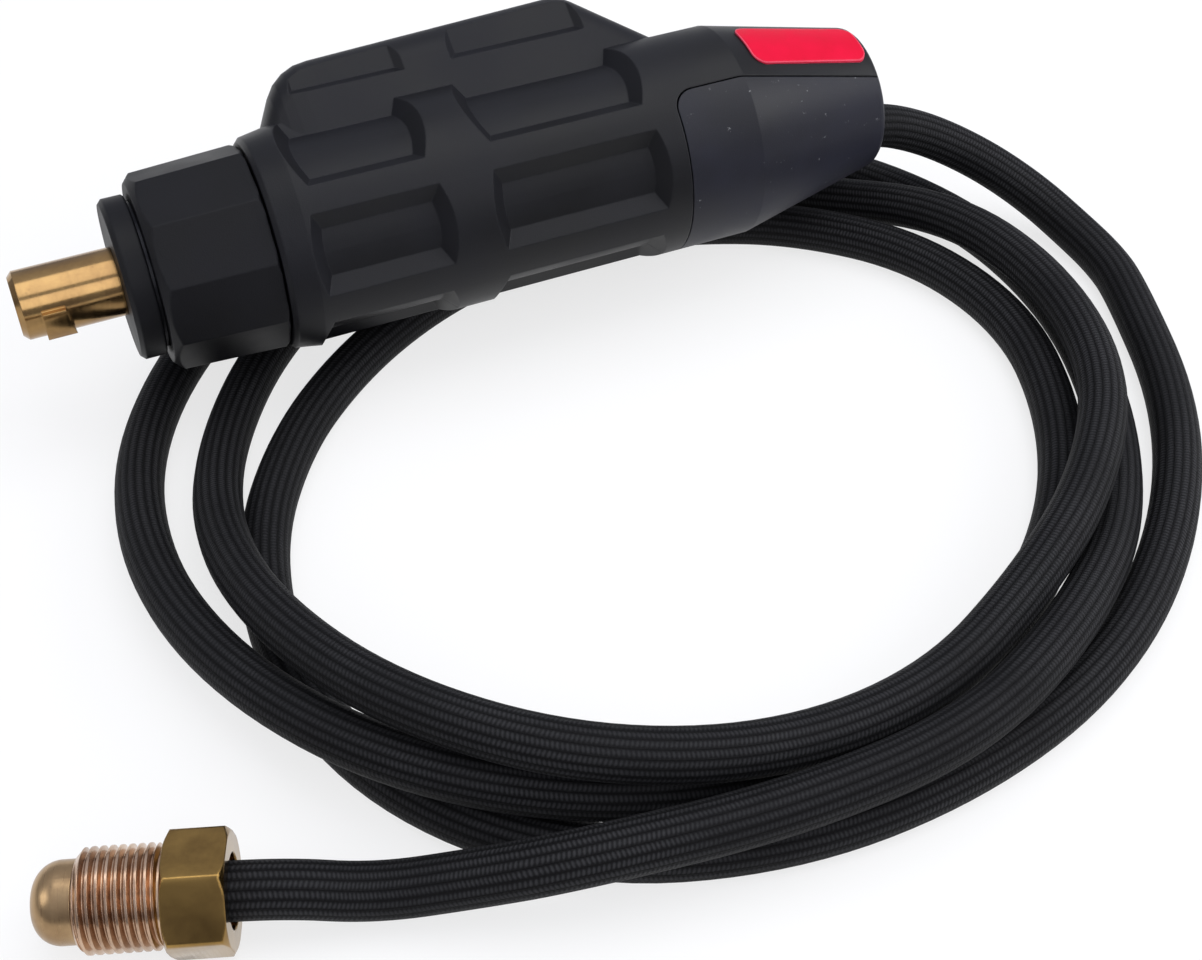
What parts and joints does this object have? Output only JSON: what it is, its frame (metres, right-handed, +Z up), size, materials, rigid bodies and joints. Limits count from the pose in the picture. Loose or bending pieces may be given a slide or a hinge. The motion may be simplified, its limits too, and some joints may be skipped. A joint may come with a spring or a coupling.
{
  "type": "welding torch cable adapter",
  "caption": "Power and gas adapter for a welding torch: bayonet contact plug with locking nut, ribbed grip housing and a coiled braided gas hose with a threaded end fitting.",
  "frame": {"origin": "on the contact plug's axis, at the pressure flange's front face", "axes": "+X along the plug's axis from its tip towards the hose outlet, +Z up from the surface the part lies on, -Y towards the side the picture was taken from"},
  "size_m": [0.2401, 0.1863, 0.0549],
  "materials": {
    "plug_brass": "turned, lightly worn",
    "fitting_brass": "machined",
    "black_plastic": "fine moulded texture",
    "label_red": "printed label, bare",
    "steel": "zinc plated",
    "hose_braid": "woven textile braid"
  },
  "bodies": {
    "adapter": {"contact_plug": "plug_brass", "near_shell": "black_plastic", "far_shell": "black_plastic", "rear_cover": "black_plastic", "housing_screws": "steel", "cover_screws": "steel", "label_plate": "label_red", "lock_washer": "steel", "power_block": "fitting_brass", "passage_plug": "steel", "torch_stud": "fitting_brass", "stud_jam_nut": "fitting_brass", "barb_washer": "fitting_brass", "gas_barb": "fitting_brass", "barb_ferrule": "steel", "gas_hose_lead": "hose_braid", "gas_hose_coil": "hose_braid", "gas_hose_tail": "hose_braid", "end_ferrule": "steel", "ball_nipple": "fitting_brass"},
    "flange": {"pressure_flange": "black_plastic", "thrust_washer": "steel", "retaining_ring": "steel"},
    "nut": {"locking_nut": "black_plastic"},
    "gas_fitting_nut": {"gas_nut": "fitting_brass"}
  },
  "joints": [
    {"name": "flange_slide", "type": "slide", "parent": "adapter", "child": "flange", "axis": [-1, 0, 0], "range_m": [0, 0.004]},
    {"name": "nut_turn", "type": "hinge", "parent": "flange", "child": "nut", "pos_m": [0.0163, 0, 0], "axis": [-1, 0, 0], "range_deg": [0, 720]},
    {"name": "gas_nut_spin", "type": "hinge", "parent": "adapter", "child": "gas_fitting_nut", "pos_m": [-0.02843, -0.11667, -0.02135], "axis": [-0.9489, 0.3156, 0], "continuous": true}
  ],
  "couplings": [
    {"joint": "flange_slide", "follows": "nut_turn", "m_per_rad": 0.00031831}
  ]
}
